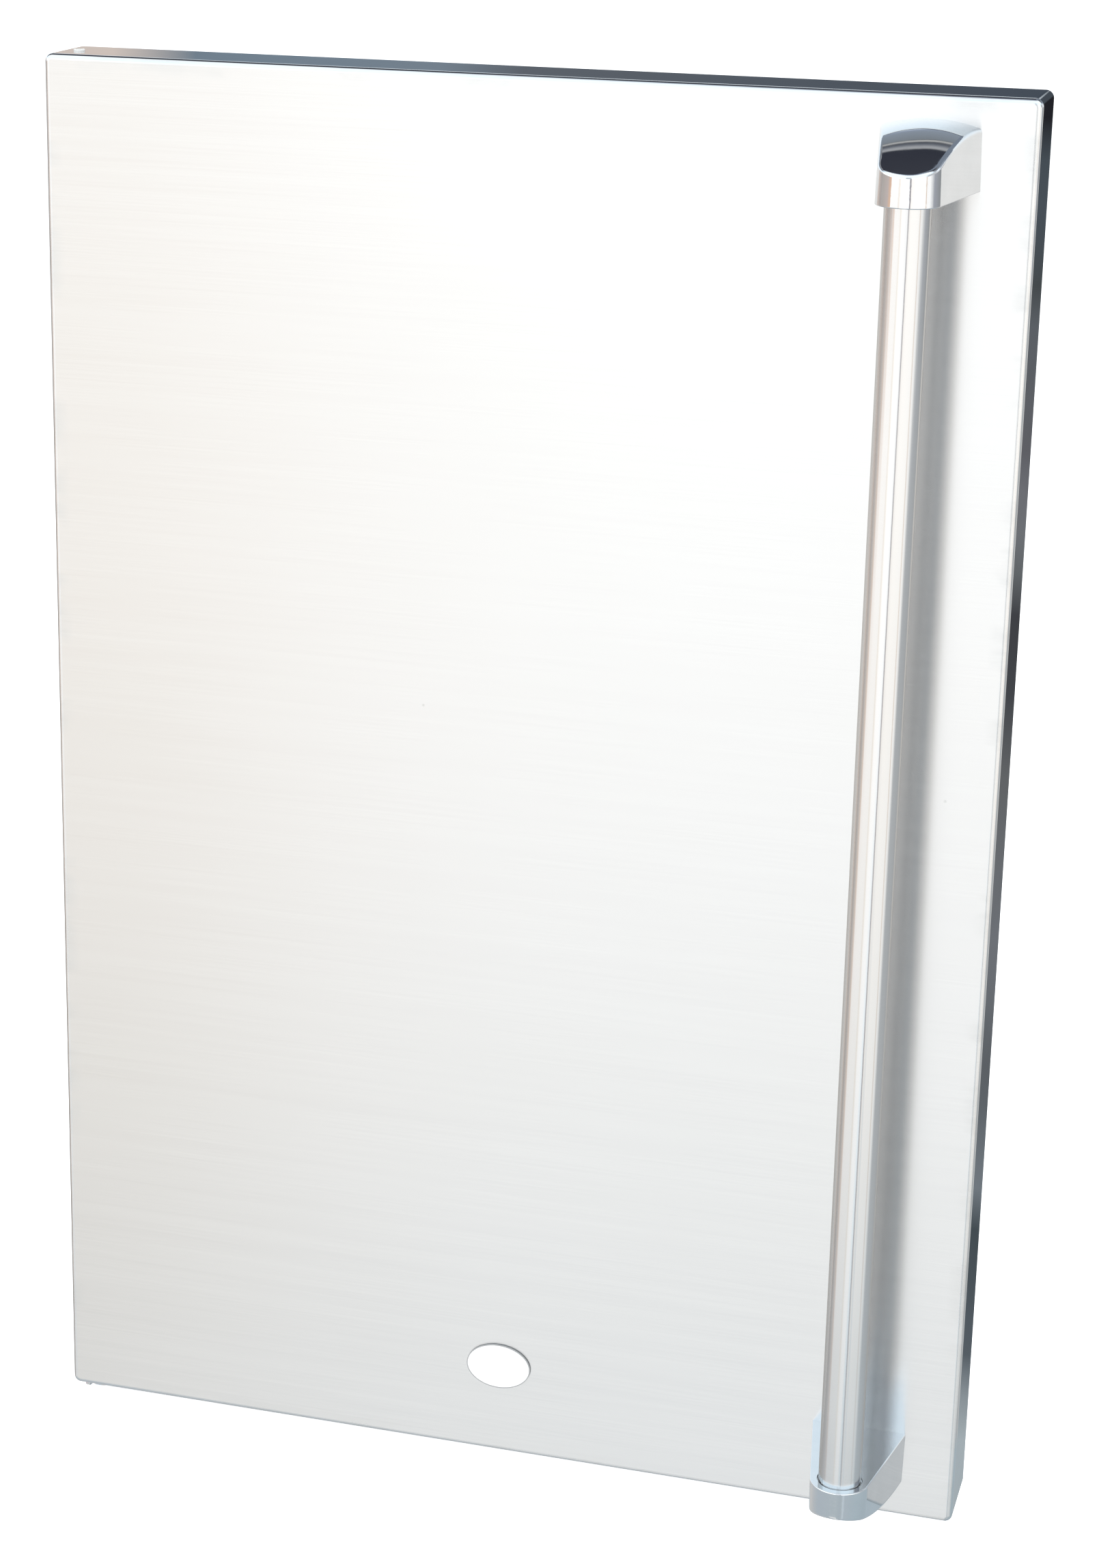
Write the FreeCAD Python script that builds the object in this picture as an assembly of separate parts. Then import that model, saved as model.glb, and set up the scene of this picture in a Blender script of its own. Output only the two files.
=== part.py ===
"""Undercounter refrigerator door: stainless pan, foam, liner, gasket, bar handle, racks and lower hinge.

Units are millimetres. +X runs from the hinge side to the handle side, +Y from the user towards the cabinet,
+Z up. The origin is the centre of the lower hinge plate's four bolt holes, on the face that meets the cabinet.
"""

import FreeCAD, Part
import math
import os

V = FreeCAD.Vector
X_AXIS, Y_AXIS, Z_AXIS = V(1, 0, 0), V(0, 1, 0), V(0, 0, 1)

# ---------------------------------------------------------------- driving dimensions
# Door slab
DOOR_WIDTH = 508.0
DOOR_HEIGHT = 755.7
DOOR_THICKNESS = 43.0
SHEET = 0.8
CORNER_RADIUS = 4.0
FRONT_BEND_RADIUS = 3.0
RETURN_FLANGE = 18.0
FIT_GAP = 0.1

# Hinge axis, measured from the door's own edges, and its place relative to the bolt holes
HINGE_FROM_SIDE = 12.0
HINGE_FROM_FRONT = 18.5
HINGE_X = -20.0
HINGE_Y = -54.0

# Lower hinge, from the plate's top face upwards
WASHER_THICKNESS = 0.8
THRUST_GAP = 0.2
BUSH_FLANGE = 0.8
STOP_THICKNESS = 1.0
PLATE_THICKNESS = 2.5
PLATE_NOSE_RADIUS = 8.2
PLATE_BASE_X = 50.0
PLATE_BASE_Y = 40.0
PLATE_CORNER = 5.0
NECK_ANGLE = 50.0
NECK_LENGTH = 56.0
BOLT_SPACING_X = 32.0
BOLT_SPACING_Y = 24.0
BOLT_HOLE_RADIUS = 2.75
PIN_RADIUS = 3.0
PIN_PRESS_GAP = 0.02
PIN_RISE = 13.0
PIN_HEAD_RADIUS = 5.0
PIN_HEAD = 1.2
PIN_CHAMFER = 0.8
RUNNING_CLEARANCE = 0.05
BUSH_FLANGE_RADIUS = 7.0
BUSH_BODY_RADIUS = 4.5
BUSH_DEPTH = 16.0

# Upper hinge bush
COLLAR_RADIUS = 2.9
COLLAR_RISE = 1.0
UPPER_BORE_RADIUS = 2.05
UPPER_BORE_DEPTH = 14.0

# Hinge reinforcement plates
REINFORCEMENT_X = 56.0
REINFORCEMENT_Y = 24.0
REINFORCEMENT_THICKNESS = 3.0

# Door stop
OPENING_ANGLE = 120.0
STOP_DISC_RADIUS = 9.2
STOP_LUG_ALONG = (3.2, 6.2)
STOP_LUG_GAP = 0.3
STOP_LUG_THICKNESS = 2.4
STOP_DROP = 2.3
STOP_STRIP_LENGTH = 38.0
STOP_STRIP_HALF_WIDTH = 7.0
STOP_SCREW_OFFSETS = (18.0, 31.0)

# Liner and gasket; insets are measured inwards from the door's edges
LINER_SHEET = 1.5
LINER_INSET = 6.0
LINER_CORNER = 8.0
DYKE_INSET = 30.0
DYKE_WIDTH = 26.0
DYKE_HEIGHT = 40.0
DYKE_OUTER_CORNER = 18.0
DYKE_INNER_CORNER = 10.0
DYKE_ROUND = 6.0
GASKET_BASE = (5.0, 23.0)
GASKET_HEAD = (6.0, 21.0)
GASKET_WEB = (6.0, 7.5)
GASKET_FLAP = (19.8, 21.0)
GASKET_BASE_THICKNESS = 1.2
GASKET_HEAD_LOW = 6.0
GASKET_HEIGHT = 11.5
GASKET_CORNER = 3.0
FLAP_GAP = 0.9
MAGNET_INSET = (8.5, 18.5)
MAGNET_THICKNESS = 3.0
LINER_SCREW_INSET = 12.5
LINER_SCREW_ROWS = 5
LINER_SCREW_COLUMNS = 3

# Handle; brackets are described at their inner, tube-entry face
HANDLE_FROM_SIDE = 52.3
HANDLE_STANDOFF = 57.4
HANDLE_CENTRE_HEIGHT = 380.0
BRACKET_INNER_SPAN = 661.5
TUBE_RADIUS = 11.1
TUBE_WALL = 1.5
SOCKET_DEPTH = 11.0
SOCKET_RADIUS = 11.15
SOCKET_MOUTH_RADIUS = 11.8
SOCKET_MOUTH_DEPTH = 1.2
BRACKET_BASE_HALF = 25.2
BRACKET_NOSE_RADIUS = 15.5
BRACKET_HEIGHT = 33.5
BRACKET_DRAFT = 1.5
BRACKET_CROWN_RADIUS = 78.0
BRACKET_BACK_RADIUS = 153.0
BRACKET_EDGE_ROUND = 2.4
BRACKET_LIP_ROUND = 0.5
BRACKET_SCREW_HALF_SPACING = 15.0
BRACKET_SCREW_FROM_INNER = 15.0
BRACKET_SCREW_DEPTH = 12.0
BRACKET_CORE = (14.0, 22.0, 18.0)
HANDLE_SCREW_RADIUS = 2.45
HANDLE_THREAD_RADIUS = 2.5
HANDLE_SCREW_REACH = 10.0
BACKING_PLATE = (58.0, 26.0, 2.0)
GRUB_RADIUS = 2.0

# Badge
BADGE_OFFSET = 0.7
BADGE_HEIGHT = 52.7
BADGE_SEMI_X = 18.1
BADGE_SEMI_Z = 13.05
BADGE_RIM = 0.5
BADGE_ADHESIVE = 0.3
BADGE_THICKNESS = 1.0
BADGE_FLOOR = 0.4

# Door racks: height above the door's bottom edge, wall height, and depth from the liner's panel
RACKS = {
    "top_rack": (560.0, 62.0, 78.0),
    "middle_rack": (352.0, 78.0, 84.0),
    "bottle_rack": (66.0, 128.0, 98.0),
}
RACK_SIDE_GAP = 0.6
RACK_BACK_GAP = 0.8
RACK_WALL = 2.2
RACK_FLOOR = 2.5
RACK_CORNER = 14.0
RACK_BACK_CORNER = 4.0
RACK_RIM = (1.6, 4.5)
LUG_REACH = 6.0
LUG_WIDTH = 14.0
LUG_HEIGHT = 12.0
LUG_FROM_PANEL = 22.0
LUG_ABOVE_FLOOR = 20.0
LUG_GAP = 0.3
BOSS_WALL = 2.0
RAIL_RADIUS = 2.0
RAIL_ABOVE_RIM = 38.0
RAIL_FROM_FRONT = 10.0
RAIL_BEND = 12.0

# ---------------------------------------------------------------- derived places
DOOR_BOTTOM = WASHER_THICKNESS + THRUST_GAP + BUSH_FLANGE + STOP_THICKNESS
DOOR_TOP = DOOR_BOTTOM + DOOR_HEIGHT
DOOR_LEFT = HINGE_X - HINGE_FROM_SIDE
DOOR_RIGHT = DOOR_LEFT + DOOR_WIDTH
DOOR_FRONT = HINGE_Y - HINGE_FROM_FRONT
DOOR_BACK = DOOR_FRONT + DOOR_THICKNESS
SKIN_INSIDE = DOOR_FRONT + SHEET
LINER_BACK = DOOR_BACK + LINER_SHEET
CAVITY_INSET = DYKE_INSET + DYKE_WIDTH
HANDLE_X = DOOR_RIGHT - HANDLE_FROM_SIDE
TUBE_Y = DOOR_FRONT - HANDLE_STANDOFF
UPPER_INNER = DOOR_BOTTOM + HANDLE_CENTRE_HEIGHT + BRACKET_INNER_SPAN / 2
LOWER_INNER = DOOR_BOTTOM + HANDLE_CENTRE_HEIGHT - BRACKET_INNER_SPAN / 2
BADGE_X = DOOR_LEFT + DOOR_WIDTH / 2 + BADGE_OFFSET
BADGE_Z = DOOR_BOTTOM + BADGE_HEIGHT


# ---------------------------------------------------------------- building helpers
def cylinder(radius, start, axis, length):
    return Part.makeCylinder(radius, length, start, axis)


def box(x, y, z):
    """A box from three (low, high) spans."""
    return Part.makeBox(x[1] - x[0], y[1] - y[0], z[1] - z[0], V(x[0], y[0], z[0]))


def rounded_rectangle(x, z, radius, y):
    """A face in the XZ plane at height y, with round corners."""
    corners = [(x[0], z[0]), (x[1], z[0]), (x[1], z[1]), (x[0], z[1])]
    inward = [(1, 1), (-1, 1), (-1, -1), (1, -1)]
    edges = []
    previous = None
    for (cx, cz), (sx, sz), first_is_z in zip(corners, inward, (True, False, True, False)):
        along_z = V(cx, y, cz + sz * radius)
        along_x = V(cx + sx * radius, y, cz)
        slack = radius * (1 - math.sqrt(0.5))
        middle = V(cx + sx * slack, y, cz + sz * slack)
        start, end = (along_z, along_x) if first_is_z else (along_x, along_z)
        if previous is not None:
            edges.append(Part.makeLine(previous, start))
        edges.append(Part.Arc(start, middle, end).toShape())
        previous = end
    edges.append(Part.makeLine(previous, edges[0].Vertexes[0].Point))
    return Part.Face(Part.Wire(edges))


def inset_slab(inset, radius, y_low, y_high):
    """A slab over the door's outline less an inset, between two depths."""
    x = (DOOR_LEFT + inset, DOOR_RIGHT - inset)
    z = (DOOR_BOTTOM + inset, DOOR_TOP - inset)
    return rounded_rectangle(x, z, radius, y_low).extrude(V(0, y_high - y_low, 0))


def frame(insets, radius, y_low, y_high):
    """A rectangular ring between two insets; the inner corners keep at least a small radius."""
    outer, inner = insets
    inner_radius = max(radius - (inner - outer), 1.0)
    return inset_slab(outer, radius, y_low, y_high).cut(inset_slab(inner, inner_radius, y_low - 1, y_high + 1))


def edges_at(shape, axis, value):
    """Edges whose two ends and middle all lie at one coordinate."""
    found = []
    for edge in shape.Edges:
        middle = edge.valueAt((edge.FirstParameter + edge.LastParameter) / 2)
        points = [v.Point for v in edge.Vertexes] + [middle]
        if all(abs(getattr(p, axis) - value) < 1e-4 for p in points):
            found.append(edge)
    return found


def fuse_all(shapes):
    return shapes[0].multiFuse(shapes[1:]).removeSplitter()


# ---------------------------------------------------------------- door slab
def pan_block(gap):
    """The pan's outer block, shrunk by a gap, with its rounded corners and front bend."""
    block = inset_slab(gap, CORNER_RADIUS - gap, DOOR_FRONT + gap, DOOR_BACK - gap)
    return block.makeFillet(FRONT_BEND_RADIUS - gap, edges_at(block, "y", DOOR_FRONT + gap))


def handle_screw_places():
    """Where the four handle screws pass through the skin: (x, z)."""
    sides = (-BRACKET_SCREW_HALF_SPACING, BRACKET_SCREW_HALF_SPACING)
    heights = (LOWER_INNER - BRACKET_SCREW_FROM_INNER, UPPER_INNER + BRACKET_SCREW_FROM_INNER)
    return [(HANDLE_X + side, height) for height in heights for side in sides]


def liner_screw_places():
    """Where the liner screws stand, along all four sides: (x, z)."""
    low_x, high_x = DOOR_LEFT + LINER_SCREW_INSET, DOOR_RIGHT - LINER_SCREW_INSET
    low_z, high_z = DOOR_BOTTOM + LINER_SCREW_INSET, DOOR_TOP - LINER_SCREW_INSET
    step_z = (high_z - low_z) / LINER_SCREW_ROWS
    step_x = (high_x - low_x) / LINER_SCREW_COLUMNS
    places = []
    for row in range(LINER_SCREW_ROWS):
        z = low_z + (row + 0.5) * step_z
        places += [(low_x, z), (high_x, z)]
    for column in range(LINER_SCREW_COLUMNS):
        x = low_x + (column + 0.5) * step_x
        places += [(x, low_z), (x, high_z)]
    return places


def stop_screw_places():
    return [(HINGE_X + offset, HINGE_Y) for offset in STOP_SCREW_OFFSETS]


def make_door_skin():
    skin = pan_block(0).cut(pan_block(SHEET))
    skin = skin.cut(inset_slab(RETURN_FLANGE, CORNER_RADIUS, DOOR_BACK - 2 * SHEET, DOOR_BACK + SHEET))
    for x, z in handle_screw_places():
        skin = skin.cut(cylinder(3.0, V(x, DOOR_FRONT - 1, z), Y_AXIS, 3))
    for x, z in liner_screw_places():
        skin = skin.cut(cylinder(1.6, V(x, DOOR_BACK - 2, z), Y_AXIS, 4))
    for x, y in stop_screw_places():
        skin = skin.cut(cylinder(2.2, V(x, y, DOOR_BOTTOM - 1), Z_AXIS, 3))
    skin = skin.cut(cylinder(COLLAR_RADIUS + FIT_GAP, V(HINGE_X, HINGE_Y, DOOR_TOP - 2), Z_AXIS, 4))
    return skin.cut(cylinder(BUSH_BODY_RADIUS + FIT_GAP, V(HINGE_X, HINGE_Y, DOOR_BOTTOM - 2), Z_AXIS, 4))


def make_liner_form(sheet, y_low):
    """The liner's raised ring as a solid; a sheet thickness shrinks it to the ring's inside."""
    high = LINER_BACK + DYKE_HEIGHT - sheet
    outer = inset_slab(DYKE_INSET + sheet, DYKE_OUTER_CORNER - sheet, y_low, high)
    inner = inset_slab(CAVITY_INSET - sheet, DYKE_INNER_CORNER + sheet, y_low - 1, high + 1)
    ring = outer.cut(inner)
    return ring.makeFillet(DYKE_ROUND - sheet, edges_at(ring, "y", high))


def lug_span(rack):
    """The (low, high) height of a rack's lugs."""
    low = DOOR_BOTTOM + RACKS[rack][0] + LUG_ABOVE_FLOOR
    return low, low + LUG_HEIGHT


def make_inner_liner():
    panel = inset_slab(LINER_INSET, LINER_CORNER, DOOR_BACK, LINER_BACK)
    liner = panel.fuse(make_liner_form(0, DOOR_BACK)).cut(make_liner_form(LINER_SHEET, DOOR_BACK - 1))
    y = (LINER_BACK + LUG_FROM_PANEL, LINER_BACK + LUG_FROM_PANEL + LUG_WIDTH)
    left, right = DOOR_LEFT + CAVITY_INSET, DOOR_RIGHT - CAVITY_INSET
    lugs = []
    for rack in RACKS:
        lugs.append(box((left - LINER_SHEET / 2, left + LUG_REACH), y, lug_span(rack)))
        lugs.append(box((right - LUG_REACH, right + LINER_SHEET / 2), y, lug_span(rack)))
    lugs = [lug.makeFillet(1.5, [e for e in lug.Edges if e.Length < LUG_REACH + 1]) for lug in lugs]
    liner = fuse_all([liner] + lugs)
    for x, z in liner_screw_places():
        liner = liner.cut(cylinder(1.6, V(x, DOOR_BACK - 1, z), Y_AXIS, 4))
    return liner


def make_gasket():
    base_top = LINER_BACK + GASKET_BASE_THICKNESS
    head_low, head_high = LINER_BACK + GASKET_HEAD_LOW, LINER_BACK + GASKET_HEIGHT
    base = frame(GASKET_BASE, GASKET_CORNER, LINER_BACK, base_top)
    web = frame(GASKET_WEB, GASKET_CORNER, base_top - 0.2, head_low + 0.2)
    head = frame(GASKET_HEAD, GASKET_CORNER, head_low, head_high)
    flap = frame(GASKET_FLAP, GASKET_CORNER, base_top + FLAP_GAP, head_low + 0.2)
    channel = frame(MAGNET_INSET, GASKET_CORNER, head_low - 1, head_low + MAGNET_THICKNESS + FIT_GAP)
    gasket = fuse_all([base, web, head, flap]).cut(channel)
    for x, z in liner_screw_places():
        gasket = gasket.cut(cylinder(1.6, V(x, LINER_BACK - 1, z), Y_AXIS, 3))
    return gasket


def make_gasket_magnets():
    """Four flexible strips lying in the gasket's channel, stopping short of the mitred corners."""
    low, high = MAGNET_INSET[0] + FIT_GAP, MAGNET_INSET[1] - FIT_GAP
    y = (LINER_BACK + GASKET_HEAD_LOW, LINER_BACK + GASKET_HEAD_LOW + MAGNET_THICKNESS)
    clear = high + 3.0
    across = (DOOR_LEFT + clear, DOOR_RIGHT - clear)
    upright = (DOOR_BOTTOM + clear, DOOR_TOP - clear)
    return [
        box(across, y, (DOOR_BOTTOM + low, DOOR_BOTTOM + high)),
        box(across, y, (DOOR_TOP - high, DOOR_TOP - low)),
        box((DOOR_LEFT + low, DOOR_LEFT + high), y, upright),
        box((DOOR_RIGHT - high, DOOR_RIGHT - low), y, upright),
    ]


def make_liner_screws():
    screws = []
    for x, z in liner_screw_places():
        head_base = LINER_BACK + GASKET_BASE_THICKNESS
        head = cylinder(3.2, V(x, head_base, z), Y_AXIS, 1.8)
        head = head.makeFillet(0.8, edges_at(head, "y", head_base + 1.8))
        shaft = cylinder(1.5, V(x, head_base - 12, z), Y_AXIS, 12.5)
        screws.append(head.fuse(shaft))
    return screws


# ---------------------------------------------------------------- hinges
def make_upper_hinge_bush():
    foot, shoulder, mouth = DOOR_TOP - BUSH_DEPTH, DOOR_TOP - SHEET - FIT_GAP, DOOR_TOP + COLLAR_RISE
    body = cylinder(BUSH_BODY_RADIUS, V(HINGE_X, HINGE_Y, foot), Z_AXIS, shoulder - foot)
    collar = cylinder(COLLAR_RADIUS, V(HINGE_X, HINGE_Y, shoulder - 1), Z_AXIS, mouth - shoulder + 1)
    collar = collar.makeFillet(0.3, edges_at(collar, "z", mouth))
    bore = cylinder(UPPER_BORE_RADIUS, V(HINGE_X, HINGE_Y, mouth - UPPER_BORE_DEPTH), Z_AXIS, UPPER_BORE_DEPTH + 1)
    return body.fuse(collar).removeSplitter().cut(bore)


def make_lower_hinge_bush():
    flange_low = WASHER_THICKNESS + THRUST_GAP
    flange = cylinder(BUSH_FLANGE_RADIUS, V(HINGE_X, HINGE_Y, flange_low), Z_AXIS, BUSH_FLANGE)
    body_height = DOOR_BOTTOM + BUSH_DEPTH - flange_low
    body = cylinder(BUSH_BODY_RADIUS, V(HINGE_X, HINGE_Y, flange_low), Z_AXIS, body_height)
    bore_top = DOOR_BOTTOM + PIN_RISE + 1
    bore = cylinder(PIN_RADIUS + RUNNING_CLEARANCE, V(HINGE_X, HINGE_Y, -1), Z_AXIS, bore_top + 1)
    return flange.fuse(body).removeSplitter().cut(bore)


def reinforcement(z_low):
    """A steel plate against the inside of the pan's edge, bored for the hinge bush."""
    x = (DOOR_LEFT + SHEET + 3, DOOR_LEFT + SHEET + 3 + REINFORCEMENT_X)
    y = (HINGE_Y - REINFORCEMENT_Y / 2, HINGE_Y + REINFORCEMENT_Y / 2)
    plate = box(x, y, (z_low, z_low + REINFORCEMENT_THICKNESS))
    plate = plate.makeFillet(3, [e for e in plate.Edges if abs(e.Length - REINFORCEMENT_THICKNESS) < 1e-6])
    return plate.cut(cylinder(BUSH_BODY_RADIUS + FIT_GAP, V(HINGE_X, HINGE_Y, z_low - 1), Z_AXIS, 10))


def make_upper_hinge_reinforcement():
    return reinforcement(DOOR_TOP - SHEET - FIT_GAP - REINFORCEMENT_THICKNESS)


def make_lower_hinge_reinforcement():
    plate = reinforcement(DOOR_BOTTOM + SHEET + FIT_GAP)
    for x, y in stop_screw_places():
        plate = plate.cut(cylinder(2.0, V(x, y, 0), Z_AXIS, 12))
    return plate


def make_door_stop():
    """A strip screwed under the door; its down-turned lug meets the hinge plate's neck when fully open.

    The lug is drawn where it stands in the open door, beside the neck, and then turned back to the shut door."""
    low, high = DOOR_BOTTOM - STOP_THICKNESS, DOOR_BOTTOM
    half = STOP_STRIP_HALF_WIDTH
    strip = box((HINGE_X, HINGE_X + STOP_STRIP_LENGTH), (HINGE_Y - half, HINGE_Y + half), (low, high))
    disc = cylinder(STOP_DISC_RADIUS, V(HINGE_X, HINGE_Y, low), Z_AXIS, STOP_THICKNESS)
    lug_near = PLATE_NOSE_RADIUS + STOP_LUG_GAP
    lug_far = lug_near + STOP_LUG_THICKNESS
    lug = box(STOP_LUG_ALONG, (lug_near, lug_far), (-STOP_DROP, high))
    tab = box(STOP_LUG_ALONG, (0, lug_far), (low, high))
    lug = lug.fuse(tab)
    lug.rotate(V(0, 0, 0), Z_AXIS, NECK_ANGLE + OPENING_ANGLE)
    lug.translate(V(HINGE_X, HINGE_Y, 0))
    stop = fuse_all([strip, disc, lug])
    stop = stop.cut(cylinder(BUSH_BODY_RADIUS + FIT_GAP, V(HINGE_X, HINGE_Y, low - 1), Z_AXIS, 3))
    for x, y in stop_screw_places():
        stop = stop.cut(cylinder(2.2, V(x, y, low - 1), Z_AXIS, 3))
    return stop


def make_door_stop_screws():
    screws = []
    for x, y in stop_screw_places():
        base = DOOR_BOTTOM - STOP_THICKNESS
        head = cylinder(3.4, V(x, y, base - 1.4), Z_AXIS, 1.4)
        head = head.makeFillet(0.7, edges_at(head, "z", base - 1.4))
        shaft = cylinder(1.95, V(x, y, base - 0.5), Z_AXIS, 9)
        slot = box((x - 2.4, x + 2.4), (y - 0.4, y + 0.4), (base - 2, base - 0.8))
        screws.append(head.fuse(shaft).cut(slot))
    return screws


def make_hinge_plate():
    """A dog-legged plate: round nose under the door, diagonal neck, bolted base under the cabinet."""
    low = -PLATE_THICKNESS
    base = box((-PLATE_BASE_X / 2, PLATE_BASE_X / 2), (-PLATE_BASE_Y / 2, PLATE_BASE_Y / 2), (low, 0))
    base = base.makeFillet(PLATE_CORNER, [e for e in base.Edges if abs(e.Length - PLATE_THICKNESS) < 1e-6])
    nose = cylinder(PLATE_NOSE_RADIUS, V(HINGE_X, HINGE_Y, low), Z_AXIS, PLATE_THICKNESS)
    neck = box((0, NECK_LENGTH), (-PLATE_NOSE_RADIUS, PLATE_NOSE_RADIUS), (low, 0))
    neck.rotate(V(0, 0, 0), Z_AXIS, NECK_ANGLE)
    neck.translate(V(HINGE_X, HINGE_Y, 0))
    plate = fuse_all([base, nose, neck])
    pin_hole = PIN_RADIUS + PIN_PRESS_GAP
    plate = plate.cut(cylinder(pin_hole, V(HINGE_X, HINGE_Y, low - 1), Z_AXIS, PLATE_THICKNESS + 2))
    for x in (-BOLT_SPACING_X / 2, BOLT_SPACING_X / 2):
        for y in (-BOLT_SPACING_Y / 2, BOLT_SPACING_Y / 2):
            plate = plate.cut(cylinder(BOLT_HOLE_RADIUS, V(x, y, low - 1), Z_AXIS, PLATE_THICKNESS + 2))
    return plate


def make_hinge_pin():
    tip = DOOR_BOTTOM + PIN_RISE
    shaft = cylinder(PIN_RADIUS, V(HINGE_X, HINGE_Y, -PLATE_THICKNESS), Z_AXIS, PLATE_THICKNESS + tip)
    shaft = shaft.makeChamfer(PIN_CHAMFER, edges_at(shaft, "z", tip))
    head = cylinder(PIN_HEAD_RADIUS, V(HINGE_X, HINGE_Y, -PLATE_THICKNESS - PIN_HEAD), Z_AXIS, PIN_HEAD)
    head = head.makeFillet(PIN_HEAD / 2, edges_at(head, "z", -PLATE_THICKNESS - PIN_HEAD))
    return shaft.fuse(head).removeSplitter()


def make_hinge_washer():
    washer = cylinder(BUSH_FLANGE_RADIUS, V(HINGE_X, HINGE_Y, 0), Z_AXIS, WASHER_THICKNESS)
    return washer.cut(cylinder(PIN_RADIUS + RUNNING_CLEARANCE, V(HINGE_X, HINGE_Y, -1), Z_AXIS, 4))


# ---------------------------------------------------------------- handle
def bracket_outline(height):
    """The bracket's plan at a height above its inner face, shrunk by the draft: straight sides, round nose.

    It is drawn for a bracket whose base centre is the origin, with the nose towards -Y."""
    shrink = height * math.tan(math.radians(BRACKET_DRAFT))
    half, radius = BRACKET_BASE_HALF - shrink, BRACKET_NOSE_RADIUS - shrink
    reach = math.hypot(half, HANDLE_STANDOFF)
    to_centre = math.atan2(-HANDLE_STANDOFF, -half)
    side = math.sqrt(reach * reach - radius * radius)
    along = to_centre + math.asin(radius / reach)
    tangent_x, tangent_y = half + side * math.cos(along), side * math.sin(along)
    corner_right, corner_left = V(half, 0, height), V(-half, 0, height)
    tangent_right, tangent_left = V(tangent_x, tangent_y, height), V(-tangent_x, tangent_y, height)
    nose = Part.Arc(tangent_right, V(0, -HANDLE_STANDOFF - radius, height), tangent_left).toShape()
    edges = [
        Part.makeLine(corner_right, tangent_right),
        nose,
        Part.makeLine(tangent_left, corner_left),
        Part.makeLine(corner_left, corner_right),
    ]
    return Part.Wire(edges)


def crowned_form():
    """A revolved solid whose upper side is the bracket's back: one long arc to the nose, crowned across."""
    axis_height = BRACKET_HEIGHT - BRACKET_CROWN_RADIUS
    front = HANDLE_STANDOFF + BRACKET_NOSE_RADIUS + 4

    def on_arc(reach):
        drop = BRACKET_BACK_RADIUS - math.sqrt(BRACKET_BACK_RADIUS ** 2 - reach ** 2)
        return V(0, -reach, BRACKET_HEIGHT - drop)

    start, tip = on_arc(0), on_arc(front)
    back = V(0, 4, BRACKET_HEIGHT)
    below_tip, below_back = V(0, -front, axis_height), V(0, 4, axis_height)
    edges = [
        Part.makeLine(back, start),
        Part.Arc(start, on_arc(front / 2), tip).toShape(),
        Part.makeLine(tip, below_tip),
        Part.makeLine(below_tip, below_back),
        Part.makeLine(below_back, back),
    ]
    profile = Part.Face(Part.Wire(edges))
    turn = 60.0
    profile.rotate(V(0, 0, axis_height), Y_AXIS, -turn / 2)
    return profile.revolve(V(0, 0, axis_height), Y_AXIS, turn)


def bracket_body():
    """The casting before its holes, inner face down at z = 0."""
    loft = Part.makeLoft([bracket_outline(0), bracket_outline(BRACKET_HEIGHT + 4)], True)
    body = loft.common(crowned_form())
    crown_edges = []
    for edge in body.Edges:
        middle = edge.valueAt((edge.FirstParameter + edge.LastParameter) / 2)
        on_rim = middle.z > 8 and middle.y < -0.5 and edge.Length > 8
        if on_rim:
            crown_edges.append(edge)
    body = body.makeFillet(BRACKET_EDGE_ROUND, crown_edges)
    lip_edges = [e for e in edges_at(body, "z", 0) if e.CenterOfMass.y < -0.5]
    return body.makeFillet(BRACKET_LIP_ROUND, lip_edges)


def make_bracket():
    """One handle bracket, inner face down at z = 0, base centre at the origin."""
    body = bracket_body()
    socket_centre = V(0, -HANDLE_STANDOFF, 0)
    body = body.cut(cylinder(SOCKET_RADIUS, socket_centre - Z_AXIS, Z_AXIS, SOCKET_DEPTH + 1))
    mouth = Part.makeCone(SOCKET_MOUTH_RADIUS, SOCKET_RADIUS, SOCKET_MOUTH_DEPTH, socket_centre)
    mouth_step = cylinder(SOCKET_MOUTH_RADIUS - 0.3, socket_centre - Z_AXIS, Z_AXIS, SOCKET_MOUTH_DEPTH + 1)
    body = body.cut(mouth.fuse(mouth_step))
    core_x, core_y, core_z = BRACKET_CORE
    core_low = BRACKET_SCREW_FROM_INNER - core_z / 2
    body = body.cut(box((-core_x / 2, core_x / 2), (-core_y, 1), (core_low, core_low + core_z)))
    for side in (-BRACKET_SCREW_HALF_SPACING, BRACKET_SCREW_HALF_SPACING):
        start = V(side, -BRACKET_SCREW_DEPTH, BRACKET_SCREW_FROM_INNER)
        body = body.cut(cylinder(HANDLE_THREAD_RADIUS, start, Y_AXIS, BRACKET_SCREW_DEPTH + 1))
    grub_start = V(-BRACKET_NOSE_RADIUS - 3, -HANDLE_STANDOFF, grub_height())
    return body.cut(cylinder(GRUB_RADIUS, grub_start, X_AXIS, BRACKET_NOSE_RADIUS))


def grub_height():
    return SOCKET_DEPTH * 0.6


def place_upper(shape):
    shape.translate(V(HANDLE_X, DOOR_FRONT, UPPER_INNER))
    return shape


def place_lower(shape):
    flipped = shape.mirror(V(0, 0, 0), Z_AXIS)
    flipped.translate(V(HANDLE_X, DOOR_FRONT, LOWER_INNER))
    return flipped


def make_handle_tube():
    low, high = LOWER_INNER - SOCKET_DEPTH + 0.5, UPPER_INNER + SOCKET_DEPTH - 0.5
    start = V(HANDLE_X, TUBE_Y, low)
    tube = cylinder(TUBE_RADIUS, start, Z_AXIS, high - low)
    return tube.cut(cylinder(TUBE_RADIUS - TUBE_WALL, start - Z_AXIS, Z_AXIS, high - low + 2))


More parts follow.
